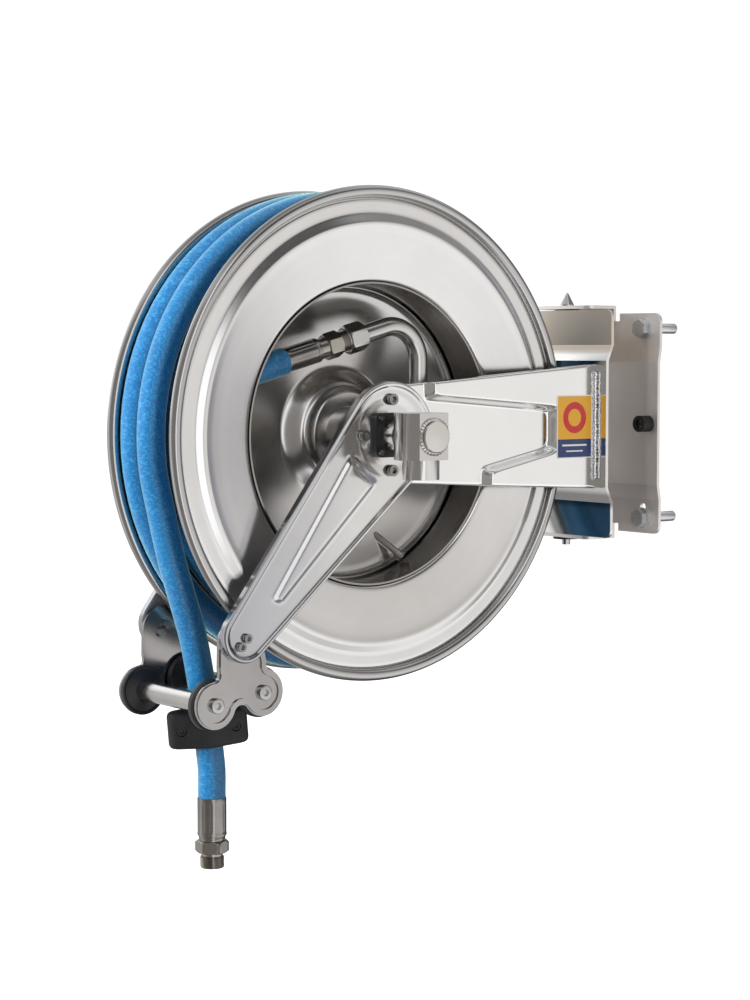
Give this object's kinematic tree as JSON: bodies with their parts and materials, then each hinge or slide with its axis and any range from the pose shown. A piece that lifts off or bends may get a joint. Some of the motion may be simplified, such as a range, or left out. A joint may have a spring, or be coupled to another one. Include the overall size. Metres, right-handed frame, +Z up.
{
  "type": "spring rewind hose reel",
  "caption": "Stainless spring rewind hose reel on a swivelling wall bracket, with a blue washing hose, roller guide, hose stop and inlet swivel.",
  "frame": {"origin": "centre of the wall bolt pattern, on the wall face", "axes": "+X into the wall, +Y along the reel axis towards the spring side, +Z up"},
  "size_m": [0.6789, 0.293, 0.7337],
  "materials": {
    "polished_sheet": "polished",
    "plate_steel": "satin",
    "turned_steel": "satin",
    "zinc_bolts": "polished",
    "black_plastic": "matt",
    "black_rubber": "matt",
    "blue_hose": "satin",
    "spring_steel": "oiled"
  },
  "bodies": {
    "bracket": {"wall_plate": "plate_steel", "wall_washers": "zinc_bolts", "wall_bolts": "zinc_bolts", "pivot_pin": "turned_steel", "pivot_washer": "black_plastic", "rubber_buffers": "black_rubber", "buffer_screws": "turned_steel"},
    "frame": {"base_plate": "plate_steel", "hinge_bushes": "black_plastic", "near_support_arm": "polished_sheet", "far_support_arm": "polished_sheet", "weld_beads": "plate_steel", "near_guide_arm": "polished_sheet", "far_guide_arm": "polished_sheet", "near_hub_screws": "turned_steel", "far_hub_screws": "turned_steel", "near_bearing": "black_plastic", "near_bearing_screws": "turned_steel", "spring_arbor": "turned_steel", "arbor_screws": "turned_steel", "pawl_pin": "turned_steel", "near_roller_plate": "polished_sheet", "far_roller_plate": "polished_sheet", "roller_plate_screws": "turned_steel", "roller_bolts": "turned_steel", "free_hose": "blue_hose", "stop_front": "black_rubber", "stop_back": "black_rubber", "stop_screws": "turned_steel", "hose_ferrule": "turned_steel", "hose_nipple": "turned_steel"},
    "latch": {"pawl": "spring_steel"},
    "drum": {"near_flange": "polished_sheet", "far_flange": "polished_sheet", "drum_shell": "polished_sheet", "drum_web": "polished_sheet", "hub_sleeve": "turned_steel", "hollow_shaft": "turned_steel", "gooseneck": "turned_steel", "elbow_nut": "turned_steel", "tail_fitting": "turned_steel", "tail_ferrule": "turned_steel", "hose_tail": "blue_hose", "stay_rod": "turned_steel", "spring_case": "polished_sheet", "spring_cover": "polished_sheet", "cover_screws": "turned_steel", "power_spring": "spring_steel", "ratchet_wheel": "spring_steel", "hose_core": "blue_hose", "hose_turns": "blue_hose"},
    "inlet_swivel": {"swivel_body": "turned_steel", "swivel_plug": "turned_steel", "swivel_seals": "black_rubber"},
    "outer_roller": {"outer_roller_tube": "turned_steel", "outer_roller_ends": "black_plastic"},
    "inner_roller": {"inner_roller_tube": "turned_steel", "inner_roller_ends": "black_plastic"}
  },
  "joints": [
    {"name": "bracket_hinge", "type": "hinge", "parent": "bracket", "child": "frame", "pos_m": [-0.03, 0, 0], "axis": [0, 0, 1], "range_deg": [-21, 21]},
    {"name": "drum_spin", "type": "hinge", "parent": "frame", "child": "drum", "pos_m": [-0.364, 0, -0.006], "axis": [0, 1, 0], "continuous": true},
    {"name": "inlet_turn", "type": "hinge", "parent": "frame", "child": "inlet_swivel", "pos_m": [-0.364, -0.1333, -0.006], "axis": [0, 1, 0], "continuous": true},
    {"name": "outer_roller_spin", "type": "hinge", "parent": "frame", "child": "outer_roller", "pos_m": [-0.589, 0, -0.281], "axis": [0, 1, 0], "continuous": true},
    {"name": "inner_roller_spin", "type": "hinge", "parent": "frame", "child": "inner_roller", "pos_m": [-0.529, 0, -0.2725], "axis": [0, 1, 0], "continuous": true},
    {"name": "pawl_turn", "type": "hinge", "parent": "frame", "child": "latch", "pos_m": [-0.28, 0.055, 0.002], "axis": [0, 1, 0], "range_deg": [-20, 0]}
  ]
}
